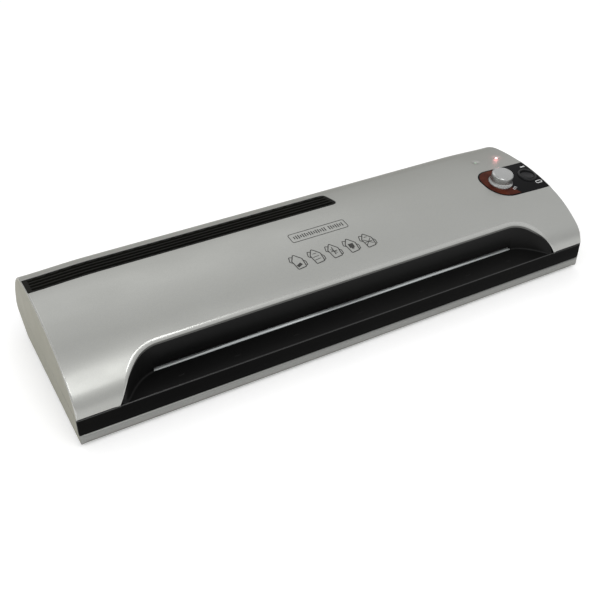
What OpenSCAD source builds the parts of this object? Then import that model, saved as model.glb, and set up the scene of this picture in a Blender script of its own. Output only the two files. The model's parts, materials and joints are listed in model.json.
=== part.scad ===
// Pouch laminator for wide sheets: a long low body, a feed recess along the front, a vent
// strip and a control panel on the top, and a four-roller drive between two side frames.
// Millimetres. X is the length, Y runs from the front (negative) to the back, Z is up.
// The origin is the centre of the footprint, on the surface the feet stand on.
// Modules are written with Y measured back from the front face and Z up from the underside
// of the base; place() moves them into the frame above.

/* [Body] */
// Length of the body
body_w = 450; // [444:1:460]
// Height of the rubber feet below the base
foot_h = 3; // [2:0.5:5]
// Height of the line where the cover meets the base
split_z = 22; // [21.5:0.5:22.5]
// Wall thickness of the mouldings
wall = 2.4; // [2.2:0.1:2.6]

/* [Feed recess] */
// Distance from the front face to the back wall of the recess
recess_d = 20.5; // [20:0.5:21.5]
// Half length of the straight back wall
recess_half = 156; // [154:1:158]
// Radius of the rounded ends in plan
recess_r = 31; // [29:0.5:32]
// Height of the black band across the front
band_h = 13.7; // [12:0.1:14]

/* [Rollers] */
// Diameter of the silicone sleeves
roller_d = 20; // [19.5:0.1:20]
// Gap left between an upper and a lower sleeve
nip_gap = 0.2; // [0.15:0.05:0.3]
// Distance of the hot rollers behind the front face
hot_y = 48; // [47:0.5:48]
// Height of the sheet path above the underside
nip_z = 24.6; // [24.6:0.1:24.8]

/* [Controls] */
// Position of the temperature dial along the body
dial_x = 183; // [182.5:0.5:186]
// Position of the power rocker along the body
rocker_x = 214; // [213.5:0.5:214.5]
// Distance of both controls behind the front face
control_y = 65; // [64.5:0.1:66]
// Diameter of the dial at its skirt
dial_d = 21.6; // [20:0.1:22]
// Diameter of the power rocker
rocker_d = 12.6; // [12:0.1:13]

/* [Hidden] */
$fn = 96;
fit = 0.1;
gap = 0.3;

// Crown of the body in cross-section: each entry is a radius and the heading it ends on,
// starting straight up from the front face. Headings are in degrees above level.
crown = [[24, 40], [90, 16], [200, -6], [36, -50], [64, -78]];
arc_step = 3;

function arc_move(r, from, to) = [r * (sin(from) - sin(to)), r * (cos(to) - cos(from))];
function arc_run(start, r, from, to) =
    let (steps = ceil(abs(from - to) / arc_step))
    [for (i = [1:steps]) start + arc_move(r, from, from + (to - from) * i / steps)];
function crown_run(start, inset, i = 0, from = 90) =
    i == len(crown) ? [] :
    let (run = arc_run(start, crown[i][0] - inset, from, crown[i][1]))
    concat(run, crown_run(run[len(run) - 1], inset, i + 1, crown[i][1]));

// Outline of the crown, set in from the outer skin by an even amount.
function crown_outline(inset) =
    let (
        start = [inset, split_z],
        run = crown_run(start, inset),
        last = run[len(run) - 1],
        slope = tan(-crown[len(crown) - 1][1]),
        foot = [last[0] + (last[1] - split_z) / slope, split_z]
    )
    concat([start], run, [foot]);

outer = crown_outline(0);
body_d = outer[len(outer) - 1][0];

// The top arc carries the controls and the vent, so its centre is needed by itself.
top_r = crown[2][0];
top_start = arc_move(crown[0][0], 90, crown[0][1])
    + arc_move(crown[1][0], crown[0][1], crown[1][1]) + [0, split_z];
top_centre = top_start + top_r * [sin(crown[1][1]), -cos(crown[1][1])];
function top_z(y) = top_centre[1] + sqrt(top_r * top_r - pow(y - top_centre[0], 2));
function top_tilt(y) = asin((top_centre[0] - y) / top_r);

band_bottom = split_z - band_h;
undercut = 20;
undercut_z = 15;

slot_half = 163;
plate_x = 188;
plate_t = 1.6;
sleeve_half = 165;
core_d = 8;
bush_d = 14;
gear_x = 192;
gear_w = 8;
bracket_x = 201;
bracket_t = 1.2;
motor_w = 17.8;

pair_gap = roller_d + nip_gap;
lower_z = nip_z - pair_gap / 2;
upper_z = nip_z + pair_gap / 2;
gear_teeth = 20;
pinion_teeth = 10;
mesh_slack = 0.1;
backlash = 0.14;
idler_y = hot_y + gear_teeth + mesh_slack;
pull_y = idler_y + gear_teeth + mesh_slack;
pinion_z = lower_z + (gear_teeth + pinion_teeth) / 2 + mesh_slack;

tie_spots = [[32, 9], [110, 9], [110, 38]];
bracket_spots = [[28, 26], [108, 26], [idler_y, 51.4]];
boss_spots = [[-205, 16], [205, 16], [-205, 122], [205, 122]];
flange_spots = [[-182, 30], [182, 30], [-182, 108], [182, 108]];
gland_y = 118;
gland_z = 11;
rocker_tilt = 8;
foot_spots = [[-200, 30], [200, 30], [-200, 108], [200, 108]];

vent_front = 98.8;
vent_back = 119.6;
vent_left = 3 - body_w / 2;
vent_right = 36.8;
vent_corner = 4.5;
vent_slant = 2;
// The panel: half its width, and the centre of its round end.
panel_r = 19.2;
panel_x = 185;
lamp_y = 101.5;
lamp_spots = [184.3, 208.8];

silver = [0.66, 0.66, 0.64];
black = [0.06, 0.06, 0.07];
steel = [0.6, 0.61, 0.63];
alu = [0.75, 0.76, 0.78];
rubber_red = [0.45, 0.12, 0.08];

// Sub-part to draw, or all of them

module place() {
    translate([0, -body_d / 2, foot_h]) children();
}

// Turns a drawing in the Y-Z plane into a bar along X.
module along_x(from, to) {
    translate([from, 0, 0])
        rotate([90, 0, 90])
            linear_extrude(to - from) children();
}

// Stands a child on the top skin, square to it.
module on_skin(x, y) {
    translate([x, y, top_z(y)])
        rotate([top_tilt(y), 0, 0])
            children();
}

module crown_shape(inset) {
    polygon(crown_outline(inset));
}

// A layer of the crown between two depths below the skin.
module skin_layer(from, to, half) {
    along_x(-half, half) {
        difference() {
            crown_shape(from);
            crown_shape(to);
        }
    }
}

// Plan of the feed recess, grown outward by an even amount.
module recess_plan(grow) {
    centre_y = recess_d - recess_r;
    for (side = [-1, 1])
        translate([side * recess_half, centre_y]) circle(recess_r + grow);
    translate([-recess_half, -recess_r])
        square([2 * recess_half, recess_d + recess_r + grow]);
}

module recess_prism(grow, from, to) {
    translate([0, 0, from]) linear_extrude(to - from) recess_plan(grow);
}

module base_outline(inset) {
    polygon([
        [inset + 1, inset], [inset, inset + 1], [inset, split_z],
        [body_d - inset, split_z], [body_d - inset, undercut_z],
        [body_d - undercut - inset / 2, inset]
    ]);
}

module base() {
    color(silver) place() difference() {
        union() {
            difference() {
                along_x(-body_w / 2, body_w / 2) base_outline(0);
                along_x(-body_w / 2 + wall, body_w / 2 - wall) {
                    base_outline(wall);
                    translate([wall, split_z - 1]) square([body_d - 2 * wall, 2]);
                }
            }
            base_bosses();
        }
        translate([-body_w / 2 - 1, -1, band_bottom])
            cube([body_w + 2, wall + 1 + gap, split_z]);
        base_holes();
    }
}

module base_bosses() {
    for (spot = boss_spots)
        translate([spot[0], spot[1], wall / 2]) cylinder(h = 6, d = 8);
    for (spot = flange_spots)
        translate([spot[0], spot[1], wall / 2]) cylinder(h = 4 - wall / 2, d = 9);
}

module base_holes() {
    for (spot = boss_spots)
        translate([spot[0], spot[1], -1]) {
            cylinder(h = 10, d = 3.4);
            cylinder(h = 2, d = 6.4);
        }
    for (spot = foot_spots)
        translate([spot[0], spot[1], -1]) cylinder(h = 2, d = 14.2);
    for (i = [-9:9])
        for (y = [56, 84])
            translate([i * 18 - 1.5, y, -1]) cube([3, 22, wall + 2]);
    translate([body_w / 2 + 1, gland_y, gland_z]) rotate([0, -90, 0]) {
        cylinder(h = wall + 3, d = 12);
        cylinder(h = 2.3, d = 15.4);
    }
    translate([-60.1, 34.9, -1]) cube([60.2, 15.2, 1.3]);
}

module cover() {
    color(silver) place() difference() {
        union() {
            skin_layer(0, wall, body_w / 2);
            for (side = [-1, 1])
                along_x(side * (body_w - wall) / 2 - wall / 2, side * (body_w - wall) / 2 + wall / 2)
                    crown_shape(0);
            cover_posts();
        }
        for (spot = boss_spots)
            translate([spot[0], spot[1], 7]) cylinder(h = 8, d = 3.4);
        recess_prism(0, split_z - 1, 90);
        panel_pocket();
        vent_pocket();
        exit_cut();
        lamp_holes();
    }
}

// Posts that meet the screws coming up through the base.
module cover_posts() {
    for (spot = boss_spots)
        intersection() {
            translate([spot[0], spot[1], 7.4]) cylinder(h = 60, d = 7);
            along_x(-body_w / 2, body_w / 2) {
                crown_shape(wall / 2);
                translate([wall, 0]) square([body_d - 2 * wall, split_z + 1]);
            }
        }
}

// Bullet-shaped plan of the control panel: round at the dial, square at the body end.
module panel_plan(grow) {
    translate([panel_x, control_y]) circle(panel_r + grow);
    translate([panel_x, control_y - panel_r - grow])
        square([body_w / 2 - wall - panel_x + grow, 2 * (panel_r + grow)]);
}

module panel_pocket() {
    intersection() {
        skin_layer(-1, 1.2, body_w / 2 + 1);
        linear_extrude(90) panel_plan(fit);
    }
    on_skin(dial_x, control_y) translate([0, 0, -10]) cylinder(h = 20, d = 15);
    on_skin(rocker_x, control_y) translate([0, 0, -10]) cylinder(h = 20, d = 15.4);
}

// Plan of the vent strip: square at the body end, a slanted tip with two round corners.
module vent_plan(grow) {
    r = vent_corner + grow;
    front = [vent_right - vent_corner, vent_front + vent_corner];
    back = [front[0] - vent_slant, vent_back - vent_corner];
    tilt = atan2(vent_slant, back[1] - front[1]);
    side = r * [cos(tilt), sin(tilt)];
    translate(front) circle(r);
    translate(back) circle(r);
    polygon([[vent_left - grow, vent_front - grow], [front[0], vent_front - grow],
        front + side, back + side,
        [back[0], vent_back + grow], [vent_left - grow, vent_back + grow]]);
}

// Long slots through the vent strip; the same slots, a little wider, pass the cover.
module vent_slots(grow) {
    pitch = (vent_back - vent_front) / 5;
    for (row = [1:4])
        for (i = [0:5])
            translate([vent_left + 14 + i * 38, vent_front + row * pitch - 1 - grow])
                square([34, 2 + 2 * grow]);
}

module vent_pocket() {
    intersection() {
        skin_layer(-1, 1.6, body_w / 2 + 1);
        linear_extrude(90) vent_plan(fit);
    }
    linear_extrude(90) vent_slots(0.2);
}

module exit_cut() {
    translate([-168, body_d - 12, split_z - 1]) cube([336, 20, 9]);
}

module lamp_holes() {
    for (x = lamp_spots)
        on_skin(x, lamp_y) {
            translate([0, 0, -8]) cylinder(h = 16, d = 3.2);
            translate([0, 0, 11.2]) sphere(12);
        }
}

module feed_tray() {
    color(black) place() {
        difference() {
            union() {
                intersection() {
                    difference() {
                        recess_prism(wall, split_z - wall, 60);
                        recess_prism(0, split_z + 0.2, 61);
                    }
                    along_x(-body_w / 2 + wall + gap, body_w / 2 - wall - gap)
                        tray_limit();
                }
                translate([-body_w / 2, 0, band_bottom])
                    cube([body_w, wall, band_h]);
            }
            translate([-slot_half - 0.2, recess_d - 2, split_z + 0.2])
                cube([2 * slot_half + 0.4, wall + 4, 3.5]);
        }
    }
}

// Space the tray may fill: under the inner face of the cover and up to its back wall.
module tray_limit() {
    intersection() {
        union() {
            crown_shape(wall + fit);
            translate([0, split_z - wall]) square([recess_d + wall, wall + 0.2]);
        }
        translate([0, 0]) square([recess_d + wall, 60]);
    }
}

module guide_strip() {
    color(alu) place() {
        translate([-slot_half, recess_d - 0.5, split_z + 0.3])
            cube([2 * slot_half, 15, 1]);
    }
}

module vent_grille() {
    color(black) place() difference() {
        intersection() {
            skin_layer(0, 1.5, body_w / 2);
            linear_extrude(90) vent_plan(0);
        }
        linear_extrude(90) vent_slots(0);
    }
}

module control_panel() {
    color(black) place() difference() {
        intersection() {
            skin_layer(-0.2, 1.1, body_w / 2);
            linear_extrude(90) panel_plan(0);
        }
        on_skin(dial_x, control_y) difference() {
            translate([0, 0, -5]) cylinder(h = 10, d = 31.4);
            translate([0, 0, -6]) linear_extrude(12)
                polygon([[0.6, 0], [40, -39.4], [40, 23.6]]);
        }
        on_skin(dial_x, control_y) translate([0, 0, -5]) cylinder(h = 10, d = 14.4);
        on_skin(rocker_x, control_y) translate([0, 0, -5]) cylinder(h = 10, d = 15.4);
    }
}

// Translucent scale ring, open on the side towards the rocker.
module dial_ring() {
    color(rubber_red) place() on_skin(dial_x, control_y) difference() {
        translate([0, 0, -0.9]) cylinder(h = 1.7, d = 31);
        translate([0, 0, -2]) cylinder(h = 4, d = 14.4);
        translate([0, 0, -2]) linear_extrude(4)
            polygon([[0, 0], [40, -40], [40, 24]]);
    }
}

module dial_knob() {
    color(silver) place() on_skin(dial_x, control_y) difference() {
        union() {
            translate([0, 0, 1.1]) cylinder(h = 2.2, d1 = dial_d, d2 = 19.6);
            translate([0, 0, 3.3]) cylinder(h = 7, d1 = 19, d2 = 18.4);
            translate([0, 0, 10.3]) cylinder(h = 0.6, d1 = 18.4, d2 = 17.2);
        }
        translate([0, 0, 0]) cylinder(h = 8, d = 6);
        translate([-0.5, 5.6, 10.4]) cube([1, 3.6, 2]);
    }
}

module dial_shaft() {
    color(steel) place() on_skin(dial_x, control_y) {
        translate([0, 0, -10]) cylinder(h = 18, d = 6);
    }
}

module dial_body() {
    color(steel) place() on_skin(dial_x, control_y) difference() {
        union() {
            translate([0, 0, -13]) cylinder(h = 9.4, d = 17);
            translate([0, 0, -4]) cylinder(h = 3, d = 9);
            translate([-4, -13, -12]) cube([8, 6, 1.2]);
        }
        translate([0, 0, -10.1]) cylinder(h = 20, d = 6.1);
    }
}

// The cap rests tipped to its off side and rocks on a pin through the case.
module rocker_cap() {
    color(black) place() on_skin(rocker_x, control_y)
        translate([0, 0, -1]) rotate([-rocker_tilt, 0, 0]) difference() {
            union() {
                translate([0, 0, -1.2]) cylinder(h = 3.8, d = rocker_d - 0.7);
                translate([-7.2, 0, 0]) rotate([0, 90, 0]) cylinder(h = 14.4, d = 2);
            }
            translate([-10, 0, 13]) rotate([0, 90, 0]) cylinder(h = 20, r = 11);
        }
}

module rocker_case() {
    color(black) place() on_skin(rocker_x, control_y) difference() {
        union() {
            translate([0, 0, -16]) cylinder(h = 16.2, d = 15);
            translate([0, 0, 0.3]) cylinder(h = 0.9, d = 16.6);
            translate([0, 0, -0.1]) cylinder(h = 0.5, d = 15);
            for (side = [-1, 1])
                translate([-0.4, side * 4 - 2.4, -22]) cube([0.8, 4.8, 7]);
        }
        translate([0, 0, -5.6]) cylinder(h = 10, d = rocker_d + 0.5);
        translate([-8, 0, -1]) rotate([0, 90, 0]) cylinder(h = 16, d = 2.12);
    }
}

module lamp(x) {
    on_skin(x, lamp_y) union() {
        translate([0, 0, -4]) cylinder(h = 3.6, d = 3);
        intersection() {
            translate([0, 0, -1.2]) sphere(1.6);
            translate([-3, -3, -0.6]) cube(6);
        }
        translate([0, 0, -4.6]) cylinder(h = 0.8, d = 3.8);
    }
}

module lamp_ready() {
    color([0.5, 0.85, 0.5]) place() lamp(lamp_spots[0]);
}

module lamp_power() {
    color([0.95, 0.35, 0.35]) place() lamp(lamp_spots[1]);
}

module lamp_board() {
    color([0.1, 0.35, 0.2]) place()
        translate([176, lamp_y - 6, top_z(lamp_y) - 6.3]) cube([42, 12, 1.6]);
}

module exit_guide() {
    color(black) place() difference() {
        union() {
            translate([-167, pull_y + 11.5, split_z - 1.2]) cube([334, body_d - pull_y - 15, 1.2]);
            translate([-167.7, body_d - 8, split_z - 0.6]) cube([335.4, 5, 8.2]);
        }
        translate([-165, body_d - 12, split_z + 0.7]) cube([330, 20, 5.4]);
        for (i = [-7:7])
            translate([i * 21 - 2, pull_y + 18, split_z - 3]) cube([4, 26, 5]);
    }
}

// Outline of a side frame; the drive side stands taller to carry the motor bracket.
module side_plate(top) {
    difference() {
        polygon([[22, 5], [118, 5], [118, top - 12], [106, top], [36, top], [22, 30]]);
        for (y = [hot_y, pull_y])
            for (z = [lower_z, upper_z])
                translate([y, z]) circle(d = bush_d + fit);
        for (spot = concat(tie_spots, bracket_spots))
            translate(spot) circle(d = 3.2);
    }
}

module side_plate_left() {
    color(steel) place() difference() {
        union() {
            along_x(-plate_x - plate_t, -plate_x) side_plate(54);
            translate([-plate_x - plate_t, 22, 4]) cube([14, 96, 1.6]);
        }
        along_x(-plate_x - plate_t - 1, -plate_x + 1)
            translate([idler_y, lower_z]) circle(d = 5.02);
    }
}

module side_plate_right() {
    color(steel) place() {
        along_x(plate_x, plate_x + plate_t) side_plate(45);
        translate([plate_x - 14 + plate_t, 22, 4]) cube([14, 96, 1.6]);
    }
}

module tie_rods() {
    color(steel) place() for (spot = tie_spots)
        along_x(-plate_x, plate_x) translate(spot) circle(d = 7);
}

// A roller core runs from its gear through both bushes.
module roller_core(y, z) {
    color(steel) place() {
        along_x(-gear_x - gear_w, plate_x + 5) translate([y, z]) circle(d = core_d);
    }
}

module roller_sleeve(y, z) {
    color([0.75, 0.32, 0.12]) place()
        along_x(-sleeve_half, sleeve_half) translate([y, z]) difference() {
            circle(d = roller_d);
            circle(d = core_d);
        }
}

// Half the angle an involute tooth of one-millimetre module fills at a given radius. Teeth
// are cut a little thin so that a meshing pair always has backlash.
function involute_angle(a) = tan(a) * 180 / PI - a;
function tooth_half(teeth, r) =
    (90 - backlash * 180 / PI) / teeth + involute_angle(20)
    - involute_angle(acos(min(1, teeth / 2 * cos(20) / r)));

// Spur gear outline, a tooth pointing along the heading phase. Each tooth is one flank out,
// the other flank back, and a step along the root to the next tooth.
module gear_outline(teeth, phase) {
    tip_r = teeth / 2 + 0.85;
    root_r = teeth / 2 - 1.25;
    start_r = max(teeth / 2 * cos(20), root_r);
    rise = [for (i = [0:3])
        let (r = start_r + (tip_r - start_r) * i / 3)
        [r, tooth_half(teeth, r)]];
    root = [root_r, rise[0][1] + 1];
    tooth = concat([root], rise, [for (i = [3:-1:0]) [rise[i][0], -rise[i][1]]],
        [[root[0], -root[1]]]);
    polygon([for (i = [0:teeth - 1]) for (p = tooth)
        let (turn = phase - i * 360 / teeth + p[1])
        p[0] * [cos(turn), sin(turn)]]);
}

// Heading a meshing gear must take so that its gap meets the other gear's tooth.
function mesh_phase(heading, phase, teeth, other) =
    heading + 180 - (teeth / other) * (phase - heading) + 180 / other;

hot_lower_phase = 0;
idler_phase = mesh_phase(0, hot_lower_phase, gear_teeth, gear_teeth);
hot_upper_phase = mesh_phase(90, hot_lower_phase, gear_teeth, gear_teeth);
pull_lower_phase = mesh_phase(0, idler_phase, gear_teeth, gear_teeth);
pull_upper_phase = mesh_phase(90, pull_lower_phase, gear_teeth, gear_teeth);
pinion_phase = mesh_phase(90, idler_phase, gear_teeth, pinion_teeth);

module spur_gear(y, z, teeth, phase, bore) {
    along_x(-gear_x - gear_w, -gear_x) translate([y, z]) difference() {
        gear_outline(teeth, phase);
        circle(d = bore);
    }
}

module roller_gear(y, z, phase) {
    color([0.9, 0.88, 0.8]) place() spur_gear(y, z, gear_teeth, phase, core_d);
}

module idler_gear() {
    color([0.9, 0.88, 0.8]) place()
        spur_gear(idler_y, lower_z, gear_teeth, idler_phase, 5.1);
}

module idler_pin() {
    color(steel) place() along_x(-gear_x - gear_w - 0.6, -plate_x + 0.5)
        translate([idler_y, lower_z]) circle(d = 5);
}

module motor() {
    color(steel) place() translate([-bracket_x - bracket_t, idler_y, pinion_z]) {
        rotate([0, -90, 0]) {
            cylinder(h = motor_w - 4, d = 37);
            translate([0, 0, motor_w - 4.2]) cylinder(h = 2, d = 28);
            for (side = [-1, 1])
                translate([side * 10, side * 17.3, 0]) cylinder(h = 1, d = 7);
        }
    }
}

module motor_pinion() {
    color([0.85, 0.7, 0.35]) place() {
        spur_gear(idler_y, pinion_z, pinion_teeth, pinion_phase, 3);
        along_x(-bracket_x - bracket_t, -gear_x)
            translate([idler_y, pinion_z]) circle(d = 3);
    }
}

module drive_bracket() {
    color(steel) place() difference() {
        union() {
            along_x(-bracket_x - bracket_t, -bracket_x)
                polygon([[22, 20], [34, 14], [102, 14], [114, 20], [114, 32],
                    [80, 56], [56, 56], [22, 32]]);
            for (spot = bracket_spots)
                along_x(-bracket_x, -plate_x - plate_t) translate(spot) circle(d = 6);
        }
        along_x(-bracket_x - bracket_t - 1, -bracket_x + 1)
            translate([idler_y, pinion_z]) circle(d = 8);
        for (spot = bracket_spots)
            along_x(-bracket_x - 2, -plate_x) translate(spot) circle(d = 2.6);
    }
}

module roller_bushes() {
    color([0.72, 0.6, 0.35]) place() for (side = [-1, 1])
        for (y = [hot_y, pull_y])
            for (z = [lower_z, upper_z])
                along_x(side * 187 - 3.6, side * 187 + 3.6) translate([y, z]) difference() {
                    circle(d = bush_d);
                    circle(d = core_d + 0.06);
                }
}

// Flat spring across both upper bushes of a side, held to the frame between them.
module leaf_springs() {
    color(steel) place() for (side = [-1, 1]) difference() {
        along_x(side * 185.5 - 1.9, side * 185.5 + 1.9)
            translate([hot_y - 6, upper_z + bush_d / 2 + 0.02])
                square([pull_y - hot_y + 12, 0.8]);
    }
}

module heater_plate(z0) {
    color(alu) place() difference() {
        translate([-plate_x + fit, hot_y + 11, z0])
            cube([2 * plate_x - 2 * fit, 18.2, 6]);
        for (i = [0:2])
            translate([-plate_x, hot_y + 14.1 + i * 5, z0 + 2.4])
                cube([2 * plate_x, 2, 1.2]);
    }
}

module heater_plate_upper() {
    heater_plate(nip_z + 1.6);
}

module heater_plate_lower() {
    heater_plate(nip_z - 7.6);
}

module heater_element(z0) {
    color([0.8, 0.78, 0.7]) place()
        translate([-150, hot_y + 14, z0]) cube([300, 12, 1.6]);
}

module heater_element_upper() {
    heater_element(nip_z + 7.6);
}

module heater_element_lower() {
    heater_element(nip_z - 9.2);
}

module thermostat() {
    color([0.2, 0.2, 0.22]) place() translate([168, hot_y + 20, nip_z + 7.6]) {
        cylinder(h = 2, d = 16);
        translate([0, 0, 2]) cylinder(h = 6, d = 13);
        for (side = [-1, 1])
            translate([side * 4 - 0.4, -1.6, 7]) cube([0.8, 3.2, 6]);
    }
}

module thermal_fuse() {
    color([0.8, 0.8, 0.75]) place()
        along_x(-170, -154) translate([hot_y + 20, nip_z + 9.7]) circle(d = 4);
}

module heat_shield() {
    color(alu) place() difference() {
        along_x(-plate_x + fit, plate_x - fit) polygon([
            [36, 41], [36, 44.8], [38.5, 46.4], [104, 46.4], [104, 41],
            [103.2, 41], [103.2, 45.6], [38.9, 45.6], [36.8, 44.3], [36.8, 41]
        ]);
        for (i = [-8:8])
            translate([i * 21 - 6, 62, 44]) cube([12, 8, 6]);
    }
}

module control_board() {
    color([0.1, 0.35, 0.2]) place() difference() {
        translate([194, 28, 8]) cube([1.6, 78, 29]);
        for (y = [32, 102])
            for (z = [11, 34])
                translate([190, y, z]) rotate([0, 90, 0]) cylinder(h = 10, d = 3.2);
    }
}

module board_transformer() {
    color([0.85, 0.75, 0.25]) place() union() {
        translate([195.6, 66, 12]) cube([14, 22, 20]);
        translate([195.6, 62, 16]) cube([12, 30, 12]);
    }
}

module board_relay() {
    color([0.15, 0.25, 0.5]) place() {
        translate([195.6, 38, 14]) cube([12, 16, 14]);
    }
}

module terminal_block() {
    color([0.9, 0.9, 0.88]) place() difference() {
        translate([197, 98, wall + 0.1]) cube([22, 12, 10]);
        for (i = [0:2])
            translate([201 + i * 7, 106.5, wall + 6]) cylinder(h = 10, d = 3.4);
    }
}

module mains_gland() {
    color(black) place()
        translate([body_w / 2 - 0.1, gland_y, gland_z]) rotate([0, -90, 0]) difference() {
            union() {
                cylinder(h = 1.1, d = 15);
                cylinder(h = 5.8, d = 11.8);
                translate([0, 0, wall]) cylinder(h = 1.6, d = 13.6);
            }
            translate([0, 0, -1]) cylinder(h = 10, d = 6.5);
        }
}

// Round wire bundle through a list of points, with a slightly fuller ball at each bend.
module bundle(points, d) {
    for (i = [0:len(points) - 2]) {
        run = points[i + 1] - points[i];
        flat = norm([run[0], run[1]]);
        translate(points[i])
            rotate([0, atan2(flat, run[2]), atan2(run[1], run[0])])
                cylinder(h = norm(run), d = d);
    }
    for (i = [1:len(points) - 2])
        translate(points[i]) sphere(d = d + 0.5);
}

module wiring() {
    color([0.85, 0.85, 0.8]) place() {
        bundle([[218.4, gland_y, gland_z], [212, gland_y, gland_z], [212, gland_y, 17],
            [212, 101, 17], [212, 101, 12.7]], 2.4);
        bundle([[203, 101, 12.7], [203, 101, 24], [195.8, 101, 24]], 2.4);
        bundle([[195.8, 32, 24], [212, 32, 24], [212, 9, 24], [212, 9, 9.5],
            [-212, 9, 9.5], [-212, 36, 9.5], [-212, 36, 22], [-212, 45, 22]], 2.4);
    }
}

module screw(head_d, shaft_d, length) {
    cylinder(h = 1.8, d = head_d);
    cylinder(h = length, d = shaft_d);
}

module case_screws() {
    color(steel) place() for (spot = boss_spots)
        translate([spot[0], spot[1], -0.9]) screw(6, 3.3, 14);
}

module frame_screws() {
    color(steel) place() {
        for (side = [-1, 1])
            for (spot = tie_spots)
                translate([side * (plate_x + plate_t + 1.8), spot[0], spot[1]])
                    rotate([0, -side * 90, 0]) cylinder(h = 1.8, d = 6);
        for (spot = bracket_spots)
            translate([-bracket_x - bracket_t - 1.6, spot[0], spot[1]])
                rotate([0, 90, 0]) cylinder(h = 1.6, d = 5);
    }
}

module feet() {
    color([0.1, 0.1, 0.1]) place() for (spot = foot_spots)
        translate([spot[0], spot[1], -foot_h]) {
            cylinder(h = foot_h + 1, d = 14);
        }
}

module rating_plate() {
    color([0.85, 0.85, 0.85]) place()
        translate([-60, 35, 0.05]) cube([60, 15, 0.25]);
}

base();
cover();
feed_tray();
guide_strip();
vent_grille();
control_panel();
dial_ring();
dial_knob();
dial_shaft();
dial_body();
rocker_cap();
rocker_case();
lamp_ready();
lamp_power();
lamp_board();
exit_guide();
side_plate_left();
side_plate_right();
tie_rods();
roller_core(hot_y, upper_z);  // hot_upper_core
roller_sleeve(hot_y, upper_z);  // hot_upper_sleeve
roller_gear(hot_y, upper_z, hot_upper_phase);  // hot_upper_gear
roller_core(hot_y, lower_z);  // hot_lower_core
roller_sleeve(hot_y, lower_z);  // hot_lower_sleeve
roller_gear(hot_y, lower_z, hot_lower_phase);  // hot_lower_gear
roller_core(pull_y, upper_z);  // pull_upper_core
roller_sleeve(pull_y, upper_z);  // pull_upper_sleeve
roller_gear(pull_y, upper_z, pull_upper_phase);  // pull_upper_gear
roller_core(pull_y, lower_z);  // pull_lower_core
roller_sleeve(pull_y, lower_z);  // pull_lower_sleeve
roller_gear(pull_y, lower_z, pull_lower_phase);  // pull_lower_gear
idler_gear();
idler_pin();
motor();
motor_pinion();
drive_bracket();
roller_bushes();
leaf_springs();
heater_plate_upper();
heater_plate_lower();
heater_element_upper();
heater_element_lower();
thermostat();
thermal_fuse();
heat_shield();
control_board();
board_transformer();
board_relay();
terminal_block();
mains_gland();
wiring();
case_screws();
frame_screws();
feet();
rating_plate();
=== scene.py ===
"""Looks of the pouch laminator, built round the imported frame.

Lengths are in millimetres until a piece is finished. X is the length, Y runs back from the front
face and Z up from the underside of the base, as in the part's source; to_row() moves points into
the frame and turns them into metres.
"""

import json
import math

import bpy
import numpy as np
from mathutils import Matrix, Vector
from mathutils.geometry import delaunay_2d_cdt


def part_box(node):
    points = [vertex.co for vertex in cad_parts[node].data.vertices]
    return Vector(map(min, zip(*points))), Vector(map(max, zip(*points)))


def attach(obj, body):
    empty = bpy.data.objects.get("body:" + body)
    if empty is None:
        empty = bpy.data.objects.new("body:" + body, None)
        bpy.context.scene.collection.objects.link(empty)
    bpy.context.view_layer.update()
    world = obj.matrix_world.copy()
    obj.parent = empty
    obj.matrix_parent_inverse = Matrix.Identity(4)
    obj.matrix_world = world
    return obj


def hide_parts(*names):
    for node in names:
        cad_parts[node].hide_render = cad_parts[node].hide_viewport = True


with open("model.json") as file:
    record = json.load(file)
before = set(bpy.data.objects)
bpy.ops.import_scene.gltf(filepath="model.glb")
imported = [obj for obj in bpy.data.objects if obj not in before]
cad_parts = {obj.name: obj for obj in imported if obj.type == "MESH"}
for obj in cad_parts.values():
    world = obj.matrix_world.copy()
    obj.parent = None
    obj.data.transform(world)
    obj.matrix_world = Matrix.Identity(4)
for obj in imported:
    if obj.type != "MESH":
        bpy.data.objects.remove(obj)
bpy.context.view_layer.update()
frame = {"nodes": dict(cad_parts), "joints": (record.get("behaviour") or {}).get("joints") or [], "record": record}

MM = 1000.0
MAIN = "laminator"


def cad_corners(node):
    """Lowest and highest corner of a CAD node, in millimetres."""
    low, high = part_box(node)
    return np.array(low) * MM, np.array(high) * MM


base_low, base_high = cad_corners("base")
HALF = base_high[0]
BODY_D = base_high[1] - base_low[1]
MID = BODY_D / 2
FOOT_H = base_low[2]
SPLIT = base_high[2] - FOOT_H
BAND_LOW = cad_corners("feed_tray")[0][2] - FOOT_H
WALL = 2.4
STEP = WALL + 0.3

# Crown of the body: radius and end heading of each arc, from straight up at the front face, and the
# straight run at the foot of the back.
CROWN = [(24, 40), (90, 16), (200, -6), (36, -50), (64, -78)]
BACK_RUN = 2.16
EDGE_R = 0.35
RIDGE_R = 1.2
ARC = 6

# Finishes of a silver shell: its faces, rounded edges, flat ends and the cut under a rolled edge.
# They are one silver paint in different tones that paint in light: brighter on the rounded edges
# for a painted highlight, darker on the flat ends and the cut for painted shade.
FACE, EDGE, END, CUT = range(4)

# Finishes of the feed tray: its walls and floor, the band in front and the lip between them.
# The band is a darker, duller copy of the tray's black for painted shade, and the lip a lighter,
# glossier copy for a painted highlight line.
TRAY, BAND, LIP = range(3)

# The ends of the cover lean in and its top falls off a little towards them.
LEAN = 0.03
LEAN_RUN = 25.0
DROOP = 1.65
DROOP_RUN = 55.0

# Recess over the feed tray: half its straight back, its corners, its depth, how far the flanks flare
# out towards the front, the rising floor and the slot.
RECESS_HALF = 156.8
RECESS_R = 31.0
RECESS_D = 20.5
FLARE = 8.6
FLARE_TOP = SPLIT + 22
FLARE_POWER = 1.25
FLOOR_Z = SPLIT + 0.2
RAMP = 2.0
SLOT_HALF = 163.0
SLOT_HIGH = 2.5
SLOT_DEEP = 13.0

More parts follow.
